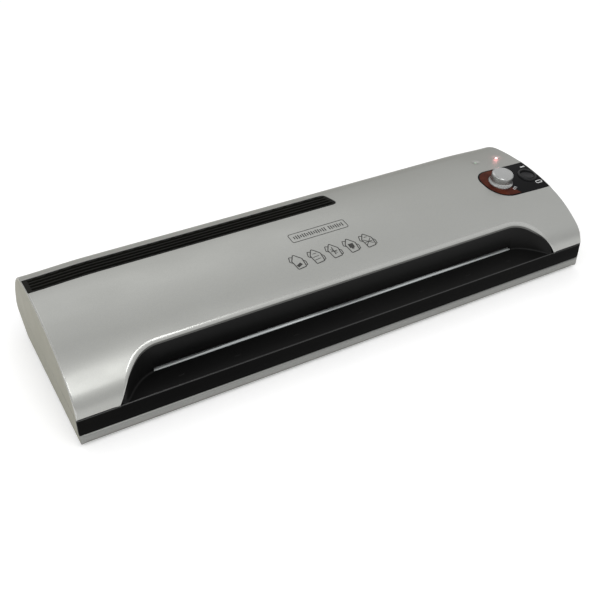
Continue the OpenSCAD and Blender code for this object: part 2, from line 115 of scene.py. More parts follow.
# Insets in the crown: how near their square ends come to the body's end, the vent strip as left,
# right, front and back, and the two lamps.
INSET_GAP = 0.75
VENT = (-HALF + INSET_GAP, 36.8, 98.8, 119.6)
LAMPS = (184.3, 208.8)
LAMP_Y = 101.5
LAMP_R = 1.25


def unit(v):
    """Rows of v scaled to length one."""
    return v / np.maximum(np.linalg.norm(v, axis=-1, keepdims=True), 1e-12)


def dot(a, b):
    """Row by row dot product, kept as a column."""
    return np.sum(a * b, axis=-1, keepdims=True)


def smooth(t):
    """A soft step from 0 to 1."""
    t = np.clip(t, 0.0, 1.0)
    return t * t * (3 - 2 * t)


def to_row(points):
    """Points in the row frame, in metres."""
    return (np.asarray(points) + [0.0, -MID, FOOT_H]) / MM


def from_row(point):
    """A point of the row frame as millimetres behind the front face and above the underside."""
    return np.array(point) * MM - [0.0, -MID, FOOT_H]


def quarter(steps=6):
    """Sine and cosine in even steps through a quarter turn."""
    turns = np.linspace(0, math.pi / 2, steps + 1)
    return list(zip(np.sin(turns), np.cos(turns)))


def add_object(name, data):
    """A new object in the scene."""
    thing = bpy.data.objects.new(name, data)
    bpy.context.scene.collection.objects.link(thing)
    return thing


class Profile:
    """A chain of arcs and straights in the Y-Z plane, with its outer side on the left.

    A move is (radius, end heading), or (0, length) for a straight. A negative radius turns left.
    """

    def __init__(self, start, heading, moves):
        rows = []
        point = np.array(start, float)
        length = 0.0
        for radius, value in moves:
            angle = math.radians(heading)
            rows.append((length, point[0], point[1], angle, radius))
            if radius:
                end = math.radians(value)
                length += radius * (angle - end)
                step = [math.sin(angle) - math.sin(end), math.cos(end) - math.cos(angle)]
                point = point + radius * np.array(step)
                heading = value
            else:
                length += value
                point = point + value * np.array([math.cos(angle), math.sin(angle)])
        self.rows = np.array(rows)
        self.end = point
        self.length = length

    def at(self, s):
        """Y, Z and heading at arc length s."""
        s = np.asarray(s, float)
        part = np.clip(np.searchsorted(self.rows[:, 0], s, side="right") - 1, 0, len(self.rows) - 1)
        start, y, z, heading, radius = self.rows[part].T
        run = s - start
        straight = radius == 0
        bend = np.where(straight, 1.0, radius)
        now = np.where(straight, heading, heading - run / bend)
        y = y + np.where(straight, run * np.cos(heading), bend * (np.sin(heading) - np.sin(now)))
        z = z + np.where(straight, run * np.sin(heading), bend * (np.cos(now) - np.cos(heading)))
        return y, z, now


def bend_ends(p):
    """The slight fall and lean of the moulding near its two ends."""
    x, y, z = p[..., 0], p[..., 1], p[..., 2]
    reach = np.abs(x)
    z = z - DROOP * smooth((reach - HALF + DROOP_RUN) / DROOP_RUN) * smooth((z - SPLIT) / 25)
    rise = np.clip(z - SPLIT, 0, None)
    x = x - np.sign(x) * LEAN * rise * smooth((reach - HALF + LEAN_RUN) / LEAN_RUN)
    return np.stack([x, y, z], axis=-1)


class Skin:
    """The surface a profile sweeps along X, addressed by x and the arc length s."""

    def __init__(self, profile, relief=None, bent=False):
        self.profile = profile
        self.relief = relief
        self.bent = bent

    def point(self, x, s, depth=0.0):
        """Points at a depth below the surface."""
        y, z, heading = self.profile.at(s)
        down = depth + (self.relief(x, s) if self.relief else 0.0)
        x = np.broadcast_to(x, y.shape)
        p = np.stack([x, y + np.sin(heading) * down, z - np.cos(heading) * down], axis=-1)
        return bend_ends(p) if self.bent else p

    def axes(self, x, s, depth=0.0):
        """Points, the directions of x and s, and the outward normal."""
        tiny = 0.02
        along = unit(self.point(x + tiny, s, depth) - self.point(x - tiny, s, depth))
        up = unit(self.point(x, s + tiny, depth) - self.point(x, s - tiny, depth))
        return self.point(x, s, depth), along, up, unit(np.cross(along, up))


class Plate:
    """The flat end of a shell, addressed by y and z, or by z and y at the left end."""

    def __init__(self, side, lean=0.0):
        self.side = side
        self.lean = lean

    def point(self, u, v, depth=0.0):
        """Points at a depth below the plate."""
        y, z = (u, v) if self.side > 0 else (v, u)
        x = self.side * (HALF - depth - self.lean * np.clip(z - SPLIT, 0, None))
        return np.stack([x, y, z], axis=-1)

    def axes(self, u, v, depth=0.0):
        """Points, the directions of u and v, and the outward normal."""
        p = self.point(u, v, depth)
        y = np.broadcast_to([0.0, 1.0, 0.0], p.shape)
        z = np.broadcast_to([0.0, 0.0, 1.0], p.shape)
        along, up = (y, z) if self.side > 0 else (z, y)
        return p, along, up, np.cross(along, up)


def heading(p, axis, closed=False):
    """The way each row or column of points runs, even where its spacing is uneven."""
    p = np.moveaxis(p, axis, 0)
    ahead = unit(np.roll(p, -1, 0) - p)
    behind = np.roll(ahead, 1, 0)
    if not closed:
        ahead[-1] = ahead[-2]
        behind[0] = ahead[0]
    return np.moveaxis(unit(ahead + behind), 0, axis)


def strip_faces(rows, count, closed):
    """Quads between rows of points, each up its first column and down the next."""
    faces = []
    for k in range(rows - 1):
        for i in range(count if closed else count - 1):
            j = (i + 1) % count
            faces.append([k * count + i, (k + 1) * count + i, (k + 1) * count + j, k * count + j])
    return faces


class Piece:
    """Collects points, normals and faces, and becomes one object."""

    def __init__(self):
        self.points = []
        self.normals = []
        self.faces = []
        self.finishes = []
        self.finish = 0
        self.count = 0

    def add(self, points, normals, faces):
        """Adds points with their normals, and faces that count from the first of them."""
        points = np.asarray(points, float).reshape(-1, 3)
        self.points.append(points)
        self.normals.append(np.asarray(normals, float).reshape(-1, 3))
        self.faces += [[int(i) + self.count for i in face] for face in faces]
        self.finishes += [self.finish] * len(faces)
        self.count += len(points)

    def grid(self, rows, flip=False, closed=False):
        """Adds rows of points as quads; the outer side is columns crossed with rows."""
        p = np.array(rows)
        normals = unit(np.cross(heading(p, 1, closed), heading(p, 0)))
        faces = [[a, b, c, d] for a, d, c, b in strip_faces(*p.shape[:2], closed)]
        if flip:
            normals = -normals
            faces = [face[::-1] for face in faces]
        self.add(p, normals, faces)

    def make(self, name, slot, *nodes, body=MAIN, paints=None):
        """Makes the object, on its body and in place of the CAD nodes it stands for.

        It has the finish of its slot unless it brings paints of its own, one for each finish.
        """
        mesh = bpy.data.meshes.new(name)
        points = to_row(np.concatenate(self.points))
        mesh.from_pydata(points.tolist(), [], self.faces)
        mesh.shade_smooth()
        mesh.normals_split_custom_set_from_vertices(unit(np.concatenate(self.normals)).tolist())
        for material in paints or [FINISHES[slot]]:
            mesh.materials.append(material)
        mesh.polygons.foreach_set("material_index", self.finishes)
        thing = add_object(name, mesh)
        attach(thing, body)
        if nodes:
            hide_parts(*nodes)


def rounded(corners, closed=True, step=None):
    """A line through corners of (x, y, radius), each rounded, cut up so no run passes step."""
    out = []
    count = len(corners)
    for i, (x, y, radius) in enumerate(corners):
        p = np.array([x, y], float)
        if radius == 0 or (not closed and i in (0, count - 1)):
            out.append(p)
            continue
        a = unit(np.array(corners[i - 1][:2]) - p)
        b = unit(np.array(corners[(i + 1) % count][:2]) - p)
        half = math.acos(float(np.clip(a @ b, -1, 1))) / 2
        centre = p + unit(a + b) * radius / math.sin(half)
        first = p + a * radius / math.tan(half) - centre
        last = p + b * radius / math.tan(half) - centre
        start = math.atan2(first[1], first[0])
        sweep = (math.atan2(last[1], last[0]) - start + math.pi) % (2 * math.pi) - math.pi
        pieces = max(3, math.ceil(abs(sweep) / math.radians(12)))
        for k in range(pieces + 1):
            turn = start + sweep * k / pieces
            out.append(centre + radius * np.array([math.cos(turn), math.sin(turn)]))
    return cut_up(np.array(out), step, closed) if step else np.array(out)


def rounded_box(x0, x1, y0, y1, radius, step=None):
    """A box with rounded corners."""
    return rounded([(x0, y0, radius), (x1, y0, radius), (x1, y1, radius), (x0, y1, radius)], step=step)


def cut_up(line, step, closed=False):
    """Adds points so that no run of the line is longer than step."""
    ends = np.roll(line, -1, axis=0) if closed else line[1:]
    out = []
    for a, b in zip(line, ends):
        pieces = max(1, math.ceil(np.linalg.norm(b - a) / step))
        out += [a + (b - a) * k / pieces for k in range(pieces)]
    if not closed:
        out.append(line[-1])
    return np.array(out)


def even(line, step):
    """An open line resampled at even spacing."""
    run = np.concatenate([[0], np.cumsum(np.linalg.norm(np.diff(line, axis=0), axis=1))])
    spots = np.linspace(0, run[-1], max(2, round(run[-1] / step)) + 1)
    return np.stack([np.interp(spots, run, line[:, i]) for i in (0, 1)], axis=1)


def circle(x, y, radius, count=72, clockwise=False):
    """A closed ring of points."""
    turn = np.linspace(0, 2 * math.pi, count, endpoint=False)
    turn = -turn if clockwise else turn
    return np.stack([x + radius * np.cos(turn), y + radius * np.sin(turn)], axis=1)


def inside(points, loops):
    """Which points lie inside an odd number of the loops."""
    hit = np.zeros(len(points), bool)
    px, py = points[:, 0], points[:, 1]
    for loop in loops:
        for (x0, y0), (x1, y1) in zip(loop, np.roll(loop, -1, axis=0)):
            if y0 == y1:
                continue
            crosses = (y0 > py) != (y1 > py)
            hit ^= crosses & (px < (x1 - x0) * (py - y0) / (y1 - y0) + x0)
    return hit


def clear_of(points, edge, distance):
    """Which points lie further than distance from every point of the edge."""
    near = np.full(len(points), np.inf)
    for start in range(0, len(edge), 200):
        gaps = np.linalg.norm(points[:, None] - edge[None, start : start + 200], axis=2)
        near = np.minimum(near, gaps.min(axis=1))
    return near > distance


def fill(piece, skin, loops, step, extra=None, depth=0.0):
    """Covers the area inside the first loop and outside the others with fine triangles."""
    edge = np.concatenate(loops)
    low, high = edge.min(axis=0), edge.max(axis=0)
    columns = np.arange(low[0] + step[0] / 2, high[0], step[0])
    rows = np.arange(low[1] + step[1] / 2, high[1], step[1])
    dots = np.stack(np.meshgrid(columns, rows), axis=-1).reshape(-1, 2)
    dots = dots[clear_of(dots, edge, 0.6 * min(step))]
    if extra is not None:
        dots = np.concatenate([dots[clear_of(dots, extra, 0.6 * min(step))], extra])
    dots = dots[inside(dots, loops)]
    flat = np.concatenate([edge, dots])
    links = []
    first = 0
    for loop in loops:
        count = len(loop)
        links += [(first + i, first + (i + 1) % count) for i in range(count)]
        first += count
    spots, _, faces, *_ = delaunay_2d_cdt([Vector(p) for p in flat], links, [], 0, 1e-7)
    spots = np.array([spot[:] for spot in spots])
    faces = np.array(faces)
    faces = faces[inside(spots[faces].mean(axis=1), loops)]
    points, _, _, normals = skin.axes(spots[:, 0], spots[:, 1], depth)
    piece.add(points, normals, faces)


def run_and_right(line, closed):
    """The way a flat line runs at each of its points, and the way to its right."""
    wide = np.concatenate([line[-1:], line, line[:1]]) if closed else line
    tangent = unit(np.gradient(wide, axis=0))
    tangent = tangent[1:-1] if closed else tangent
    return tangent, np.stack([tangent[:, 1], -tangent[:, 0]], axis=1)


def rim(piece, skin, edge, radius, depth, closed=True, toward=None, level=0.0, roll=None):
    """Rounds a cut edge over and turns it in by depth.

    With a roll, the edge only bends over by that angle before the sharp cut. Returns the line
    where the sheet beside it ends, the last row of points, the way across and the way in.
    """
    tangent, right = run_and_right(edge, closed)
    point, along, up, normal = skin.axes(edge[:, 0], edge[:, 1], level)
    across = unit(along * right[:, :1] + up * right[:, 1:])
    run = unit(along * tangent[:, :1] + up * tangent[:, 1:])
    inward = -normal if toward is None else toward(point, normal, run)
    cosine = np.clip(dot(across, inward), -1, 1)
    if roll is None:
        angle = np.arccos(cosine)
        under = unit(inward - cosine * across)
        setback = radius * np.tan(angle / 2)
    else:
        angle = np.full_like(cosine, roll)
        under = -normal
        setback = radius * math.sin(roll)
    points = []
    normals = []
    for k in range(ARC + 1):
        turn = angle * k / ARC
        curl = np.sin(turn) * across + (1 - np.cos(turn)) * under
        points.append(point - across * setback + radius * curl)
        normals.append(np.sin(turn) * across - np.cos(turn) * under)
    piece.add(points, normals, strip_faces(len(points), len(edge), closed))
    # Under a rolled edge the cut takes the cut paint, darker for painted shade.
    if roll is not None:
        piece.finish = CUT
    wall = [points[-1], points[-1] + inward * depth]
    outward = unit(across - cosine * inward)
    piece.add(wall, [outward, outward], strip_faces(2, len(edge), closed))
    return edge - right * setback, wall[1], across, inward


def cap(piece, skin, plate, s, radius, holes=(), step=8.0):
    """Rounds the end of a closed shell over and fills it."""
    side = plate.side
    # The rounded ridge goes in the edge slot, which on the cover takes the brighter paint of a painted highlight
    # line.
    piece.finish = EDGE
    points = []
    normals = []
    _, _, heading = skin.profile.at(s)
    out = np.stack([np.zeros(len(s)), -np.sin(heading), np.cos(heading)], axis=1)
    for sine, cosine in quarter():
        points.append(skin.point(side * (HALF - radius * (1 - sine)), s, radius * (1 - cosine)))
        normals.append(out * cosine + np.array([side, 0, 0]) * sine)
    faces = strip_faces(len(points), len(s), True)
    piece.add(points, normals, faces if side > 0 else [face[::-1] for face in faces])
    ring = points[-1][::-1, 1:] if side > 0 else points[-1][::-1, :0:-1]
    # The flat end goes in the end slot, whose paint is darker and warmer for painted shade and a painted
    # reflection.
    piece.finish = END
    fill(piece, plate, [ring, *holes], (step, step))


class Spot:
    """A place on the skin with its own axes, for turned parts."""

    def __init__(self, origin, along, up, normal):
        self.origin = origin
        self.axes = np.array([along, up, normal])

    def put(self, local):
        """Points given along the spot's own axes."""
        return self.origin + np.asarray(local) @ self.axes


def turned(piece, spot, outline, count=96, tilt=0.0):
    """Turns an outline of (radius, height) about the spot's axis, tipped about its X."""
    sine, cosine = math.sin(math.radians(tilt)), math.cos(math.radians(tilt))
    tip = np.array([[1, 0, 0], [0, cosine, sine], [0, -sine, cosine]])
    rows = [spot.put(np.column_stack([circle(0, 0, radius, count), np.full(count, height)]) @ tip)
            for radius, height in outline]
    piece.grid(rows, closed=True)


# ---- profiles and skins

# The cover's outline starts below its middle, goes forward, up the front, over the crown, down the
# back and forward again. Its last straight runs on for as far as it is asked, and so to the middle.
CROWN_START = 90 - math.degrees(EDGE_R / CROWN[0][0])
to_crown = [(0, MID - EDGE_R), (EDGE_R, CROWN_START)]
from_crown = [(0, BACK_RUN - EDGE_R), (EDGE_R, -180), (0, EDGE_R)]
cover_profile = Profile((MID, SPLIT), 180, [*to_crown, *CROWN, *from_crown])
COVER_LENGTH = cover_profile.length + cover_profile.end[0] - MID

# Arc length at the front face and in the corner at the foot of the back, and how far a shell's skin
# goes on round those corners.
S_FRONT = MID - EDGE_R + EDGE_R * math.radians(180 - CROWN_START)
S_BACK = COVER_LENGTH - MID
INNER_RUN = 3.0

table_s = np.linspace(S_FRONT, S_BACK, 1200)
table_y = cover_profile.at(table_s)[0]


def s_at(y):
    """Arc length on the crown at a distance behind the front face."""
    return np.interp(y, table_y, table_s)


def floor_z(y):
    """Height of the tray floor, which rises gently from the front to the slot."""
    return FLOOR_Z + RAMP * np.clip((y - 1) / (RECESS_D - 1), 0, 1)


def dimple(x, s):
    """The shallow hollows round the two lamps."""
    depth = np.zeros(np.broadcast(x, s).shape)
    for lamp_x in LAMPS:
        reach = np.hypot((x - lamp_x) / 5.0, (s - s_at(LAMP_Y)) / 4.6)
        depth = depth + 0.9 * (1 - smooth(reach))
    return depth


cover_skin = Skin(cover_profile, relief=dimple, bent=True)
crown_skin = Skin(cover_profile, bent=True)


def spot_on_skin(x, y):
    """A spot on the bent crown."""
    return Spot(*(v[0] for v in crown_skin.axes(np.array([x]), s_at(np.array([y])))))


def plan_loop(corners, step=None, flip=False):
    """A closed loop given in plan, as x and s on the crown."""
    loop = rounded(corners, step=step)
    loop = loop[::-1] if flip else loop
    return np.stack([loop[:, 0], s_at(loop[:, 1])], axis=1)


# ---- outlines on the crown


def corner_reach(y):
    """How far the rounded corner of the recess lies beyond its straight back, by distance back."""
    return np.sqrt(np.maximum(RECESS_R**2 - (y - RECESS_D + RECESS_R) ** 2, 0))


def recess_half_edge(s_low):
    """Right half of the recess edge, from the back wall's end down to the front."""
    s_top = float(s_at(RECESS_D))
    s = s_low + (s_top - s_low) * np.sin(np.linspace(math.pi / 2, 0, 500))
    y, z, _ = cover_profile.at(np.maximum(s, S_FRONT))
    flare = FLARE * np.clip((FLARE_TOP - z) / (FLARE_TOP - SPLIT), 0, 1) ** FLARE_POWER
    return even(np.stack([RECESS_HALF + corner_reach(y) + flare, s], axis=1), 1.3)


def recess_edge(s_low):
    """The whole recess edge, from its left foot to its right foot."""
    right = recess_half_edge(s_low)
    left = right[::-1] * [-1, 1]
    back = cut_up(np.array([left[-1], right[0]]), 6.0)
    return np.concatenate([left[:-1], back[:-1], right])


def vent_corners(grow=0.0):
    """Plan of the vent strip: square at the left, slanted and rounded at the tip."""
    left, right, front, back = VENT
    return [
        (left - grow, front - grow, 0.6),
        (right + 0.6 + grow, front - grow, 4.5 + grow),
        (right - 2.6 + grow, back + grow, 4.5 + grow),
        (left - grow, back + grow, 0.6),
    ]


panel_low, panel_high = cad_corners("control_panel")
joints = {joint["name"]: joint for joint in frame["joints"]}
DIAL_PLACE = from_row(joints["dial_turn"]["pos_m"])
DIAL_X, CONTROL_Y = DIAL_PLACE[:2]
ROCKER_X = from_row(joints["rocker_tip"]["pos_m"])[0]
PANEL_END = HALF - INSET_GAP
PANEL_FRONT = panel_low[1] + MID
PANEL_BACK = panel_high[1] + MID


def panel_corners(grow=0.0):
    """Plan of the control panel: rounded at the dial and square at the body's end."""
    left, right = panel_low[0] - grow, PANEL_END + grow
    front, back = PANEL_FRONT - grow, PANEL_BACK + grow
    return [(right, front, 0.8), (right, back, 0.8), (left, back, 14 + grow), (left, front, 19 + grow)]


def ridge_radius(s, side):
    """Radius of the rounded end of the cover, small along its lower edges and beside an inset."""
    reach = np.minimum(s - S_FRONT, S_BACK + EDGE_R - s)
    low, high = s_at(np.array([PANEL_FRONT, PANEL_BACK] if side > 0 else VENT[2:]))
    beside = np.maximum(low - s, s - high)
    return EDGE_R + (RIDGE_R - EDGE_R) * smooth(reach / 6) * smooth(beside / 5)


def wall_down(point, normal, run):
    """The way a recess wall goes: straight down at the back, square to the skin at the flanks."""
    down = unit(np.array([0, 0, -1.0]) - dot(np.array([0, 0, -1.0]), run) * run)
    blend = smooth((46 - point[:, 2:]) / 12)
    mixed = down * (1 - blend) - normal * blend
    return unit(mixed - dot(mixed, run) * run)


# ---- materials


def new_material(name):
    """A new material with its node tree and its shader."""
    material = bpy.data.materials.new(name)
    material.use_nodes = True
    tree = material.node_tree
    return material, tree, tree.nodes["Principled BSDF"]


def feed(tree, node, inputs):
    """Fills a node's inputs by name: another node's output is linked, anything else is a value."""
    for name, value in inputs.items():
        if isinstance(value, bpy.types.NodeSocket):
            tree.links.new(value, node.inputs[name])
        else:
            node.inputs[name].default_value = value


def add_node(tree, kind, inputs, output=0):
    """Adds a shader node with its inputs filled, and gives back one of its outputs."""
    node = tree.nodes.new("ShaderNode" + kind)
    feed(tree, node, inputs)
    return node.outputs[output]


def noise(tree, scale, detail, stretch=1.0):
    """Noise over the object, in metres, drawn out along X where stretch is below one."""
    place = add_node(tree, "TexCoord", {}, "Object")
    mapped = add_node(tree, "Mapping", {"Scale": (stretch, 1.0, 1.0), "Vector": place})
    return add_node(tree, "TexNoise", {"Scale": scale, "Detail": detail, "Vector": mapped}, "Fac")


def spread(tree, value, low, high):
    """Noise, which is mostly between 0.3 and 0.7, stretched to low and high."""
    ends = {"From Min": 0.3, "From Max": 0.7, "To Min": low, "To Max": high}
    return add_node(tree, "MapRange", {"Value": value, **ends})


def mix(tree, factor, first, second, blend="MIX"):
    """Two colours mixed by a factor."""
    node = tree.nodes.new("ShaderNodeMix")
    node.data_type = "RGBA"
    node.blend_type = blend
    feed(tree, node, {"Factor": factor, "A": first, "B": second})
    return node.outputs["Result"]


def cloudy(tree, value, first, second):
    """A colour that drifts between two with noise."""
    ends = [(*np.broadcast_to(colour, 3), 1) for colour in (first, second)]
    return mix(tree, spread(tree, value, 0, 1), *ends)


def bumps(tree, shader, *layers):
    """Stacks bumps of (height, distance in metres, strength) on a shader."""
    normal = {}
    for height, distance, strength in layers:
        inputs = {"Height": height, "Distance": distance, "Strength": strength, **normal}
        normal = {"Normal": add_node(tree, "Bump", inputs)}
    feed(tree, shader, normal)


def surface(name, light, dark, rough, metallic=0.0, grain=900.0, depth=0.00002, strength=0.3,
            patch=9.0, stretch=1.0, gloss=0.5, glow=0.0):
    """A finish with broad patches of tone and gloss and a fine grain. A grey is a single number."""
    material, tree, shader = new_material(name)
    broad = noise(tree, patch, 3.0)
    fine = noise(tree, grain, 2.0, stretch)
    feed(tree, shader, {
        "Base Color": cloudy(tree, broad, light, dark),
        "Roughness": spread(tree, broad, *rough),
        "Metallic": metallic,
        "Specular IOR Level": gloss,
        "Emission Color": (1, 1, 1, 1),
        "Emission Strength": glow,
    })
    bumps(tree, shader, (fine, depth, strength))
    return material


def moulding(name, light, dark, rough, gloss):
    """Black plastic with a fine even grain."""
    return surface(name, light, dark, rough, grain=2600, gloss=gloss)


def silver_paint(name, dark, light, rough=(0.36, 0.44)):
    """Satin metallic paint: a fine flake that dims to the side, under a soft gloss."""
    material, tree, shader = new_material(name)
    flake = noise(tree, 5200, 1.0)
    broad = noise(tree, 7, 3.0)
    smudge = noise(tree, 60, 5.0, 0.4)
    fleck = cloudy(tree, flake, dark, light)
    shade = cloudy(tree, broad, (0.97, 0.97, 0.96), 1.0)
    feed(tree, shader, {
        "Base Color": mix(tree, 1.0, fleck, shade, "MULTIPLY"),
        "Specular Tint": (0.43, 0.415, 0.35, 1),
        "Roughness": spread(tree, smudge, *rough),
        "Metallic": 0.72,
        "Coat Weight": 0.12,
        "Coat Roughness": 0.25,
    })
    bumps(tree, shader, (flake, 0.00001, 0.12), (broad, 0.0002, 0.05))
    return material


def glowing_lens(name, light, dark, glow):
    """A small lamp lens, lit from inside where glow is above zero."""
    material, tree, shader = new_material(name)
    cloud = noise(tree, 700, 3.0)
    feed(tree, shader, {
        "Base Color": cloudy(tree, cloud, light, dark),
        "Roughness": spread(tree, cloud, 0.12, 0.3),
        "Emission Color": (*light, 1),
        "Emission Strength": glow,
    })
    bumps(tree, shader, (cloud, 0.00005, 0.2))
    return material


# The plain silver paint is for the cover's faces. The others are copies of it in tones that paint in light: the
# edge paint is brighter, a painted highlight, and smoother; the end paint is darker and warmer, painted shade and
# a painted reflection; the cut and base paints are darker, painted shade.
SILVER = silver_paint("silver_paint", (0.38, 0.385, 0.37), (0.5, 0.505, 0.488))
EDGE_HIGHLIGHT_SILVER = silver_paint("edge_silver_paint", (0.44, 0.445, 0.43), (0.56, 0.565, 0.548), (0.2, 0.26))
END_SHADE_SILVER = silver_paint("end_silver_paint", (0.31, 0.307, 0.265), (0.4, 0.396, 0.345))
CUT_SHADE_SILVER = silver_paint("cut_silver_paint", (0.1, 0.1, 0.096), (0.14, 0.14, 0.135))
BASE_SHADE_SILVER = silver_paint("base_silver_paint", (0.23, 0.233, 0.226), (0.32, 0.323, 0.314))
# The band and lip mouldings are copies of the tray's black: the band darker and duller for painted shade, the lip
# lighter and glossier for a painted highlight line.
BLACK = moulding("black_moulding", 0.004, (0.007, 0.007, 0.0068), (0.3, 0.4), 0.12)
BAND_SHADE_BLACK = moulding("band_moulding", 0.003, (0.005, 0.005, 0.0048), (0.4, 0.5), 0.02)
LIP_HIGHLIGHT_BLACK = moulding("lip_moulding", 0.006, (0.01, 0.01, 0.0098), (0.22, 0.3), 0.6)
VENT_BLACK = moulding("vent_moulding", (0.006, 0.006, 0.005), (0.01, 0.01, 0.008), (0.4, 0.52), 0.06)
BEZEL = moulding("bezel_moulding", (0.012, 0.012, 0.013), (0.018, 0.018, 0.019), (0.25, 0.35), 0.2)
INK = surface("grey_ink", (0.02, 0.02, 0.018), (0.04, 0.04, 0.036), (0.5, 0.65), patch=900.0)
PALE_INK = surface("white_ink", (0.55, 0.56, 0.56), (0.72, 0.73, 0.73), (0.4, 0.55), patch=900.0)

FINISHES = {
    "steel": surface("plated_steel", 0.5, (0.62, 0.62, 0.63), (0.28, 0.42), metallic=1, grain=500,
                     stretch=0.1, patch=40),
    "aluminium": surface("mill_aluminium", (0.7, 0.7, 0.71), (0.8, 0.8, 0.81), (0.3, 0.45), metallic=1,
                         grain=700, stretch=0.05, patch=30),
    "guide_metal": surface("guide_metal", (0.55, 0.58, 0.585), (0.66, 0.69, 0.69), (0.35, 0.5),
                           metallic=0.35, grain=600, stretch=0.05, patch=30),
    "silicone": surface("silicone", (0.5, 0.14, 0.05), (0.6, 0.2, 0.08), (0.5, 0.62), grain=1500),
    "gear_plastic": surface("acetal", (0.8, 0.78, 0.7), (0.88, 0.86, 0.8), (0.35, 0.48)),
    "brass": surface("brass", (0.75, 0.55, 0.25), (0.62, 0.44, 0.18), (0.2, 0.35), metallic=1),
    "bush_bronze": surface("bronze", (0.5, 0.36, 0.18), (0.4, 0.28, 0.13), (0.4, 0.55), metallic=0.9),
    "mica": surface("mica", (0.75, 0.72, 0.62), (0.62, 0.58, 0.48), (0.5, 0.7), patch=80),
    "board_green": surface("board", (0.02, 0.16, 0.06), (0.03, 0.22, 0.09), (0.3, 0.42), patch=60),
    "tape_yellow": surface("tape", (0.7, 0.55, 0.1), (0.8, 0.66, 0.16), (0.25, 0.4), patch=60),
    "relay_blue": surface("relay", (0.05, 0.12, 0.4), (0.07, 0.16, 0.48), (0.35, 0.5)),
    "white_plastic": surface("white_plastic", (0.8, 0.8, 0.78), (0.87, 0.87, 0.85), (0.4, 0.55)),
    "rubber_black": surface("rubber", 0.015, 0.03, (0.65, 0.85), grain=1400, depth=0.00005,
                            strength=0.5),
    "wire_sleeve": surface("wire_sleeve", (0.75, 0.75, 0.7), (0.6, 0.6, 0.56), (0.6, 0.8), grain=2200,
                           depth=0.0001, strength=0.6),
    "label_paper": surface("label", 0.78, 0.85, (0.5, 0.65), patch=50),
    "black_plastic": BLACK,
    "gloss_black": surface("gloss_panel", (0.004, 0.004, 0.0045), (0.007, 0.007, 0.0075), (0.1, 0.17),
                           depth=0.00001, strength=0.08, gloss=0.04),
    "silver": SILVER,
    "ring_red": surface("smoked_red", (0.1, 0.022, 0.01), (0.045, 0.008, 0.004), (0.12, 0.22),
                        patch=120, depth=0.00001, strength=0.1, gloss=0.05),
    "knob_silver": surface("knob_silver", (0.43, 0.435, 0.43), (0.5, 0.505, 0.5), (0.24, 0.3),
                           metallic=0.85, grain=3000, strength=0.12, patch=50),
    "lamp_pink": glowing_lens("lit_lens", (1.0, 0.6, 0.62), (1.0, 0.7, 0.72), 1.3),
    "lamp_green": glowing_lens("unlit_lens", (0.5, 0.6, 0.5), (0.42, 0.52, 0.42), 0.0),
}


def dress_cad_nodes():
    """Gives every CAD node the finish of its slot."""
    for part in frame["record"]["subparts"]:
        slots = frame["nodes"][part["node"]].data.materials
        finish = FINISHES[part["material_slot"]]
        for i in range(len(slots)):
            slots[i] = finish
        if not slots:
            slots.append(finish)


# ---- the outer pieces

def cover():
    """The domed silver cover with its recess, exit notch and openings for the black insets.

    Returns where the recess edge ends, the way across it and the way in, for the tray's walls.
    """
    piece = Piece()
    s_low = S_FRONT - INNER_RUN
    s_high = S_BACK + EDGE_R + INNER_RUN
    edge = recess_edge(s_low)
    high = smooth((cover_profile.at(edge[:, 1])[1] - SPLIT - 6) / 18)[:, None]
    # The rolled recess edge takes the edge paint, brighter for a painted highlight.
    piece.finish = EDGE
    front, wall_end, across, inward = rim(piece, cover_skin, edge, 1.0 + 6.0 * high, 1.7, closed=False,
                                          toward=wall_down, roll=math.radians(30))
    piece.finish = FACE
    exit_half = 168.0
    s_exit = S_BACK - 8.2
    notch = rounded([(exit_half, s_high, 0), (exit_half, s_exit, 1.5), (-exit_half, s_exit, 1.5),
                     (-exit_half, s_high, 0)], closed=False, step=6.0)
    rear = rim(piece, cover_skin, notch, 0.4, WALL, closed=False)[0]
    s = np.linspace(s_low, s_high, 110)
    right = np.column_stack([HALF - ridge_radius(s, 1), s])
    left = np.column_stack([ridge_radius(s, -1) - HALF, s])[::-1]
    outer = np.concatenate([front, right, rear, left])
    vent = rim(piece, cover_skin, plan_loop(vent_corners(), 4.0, flip=True), 0.2, 1.6)[0]
    panel = rim(piece, cover_skin, plan_loop(panel_corners(0.15), 2.0, flip=True), 0.12, 1.2)[0]
    lamp_holes = [rim(piece, cover_skin, circle(x, s_at(LAMP_Y), LAMP_R + 0.15, 32, True), 0.12, 1.0)[0]
                  for x in LAMPS]
    rings = [circle(x, s_at(LAMP_Y), r, 24) for x in LAMPS for r in (2.4, 3.2, 4.0, 4.8, 5.8)]
    fill(piece, cover_skin, [outer, vent, panel, *lamp_holes], (4.0, 2.4), np.concatenate(rings))
    around = np.linspace(0, COVER_LENGTH, 300, endpoint=False)
    for side in (-1, 1):
        cap(piece, crown_skin, Plate(side, LEAN), around, ridge_radius(around, side))
    # Plain silver on the faces, and copies of it that paint in light: brighter on the edges for a painted
    # highlight, darker on the ends and the cut for painted shade.
    paints = (SILVER, EDGE_HIGHLIGHT_SILVER, END_SHADE_SILVER, CUT_SHADE_SILVER)
    piece.make("cover_shell", "silver", "cover", paints=paints)
    return wall_end, across, inward


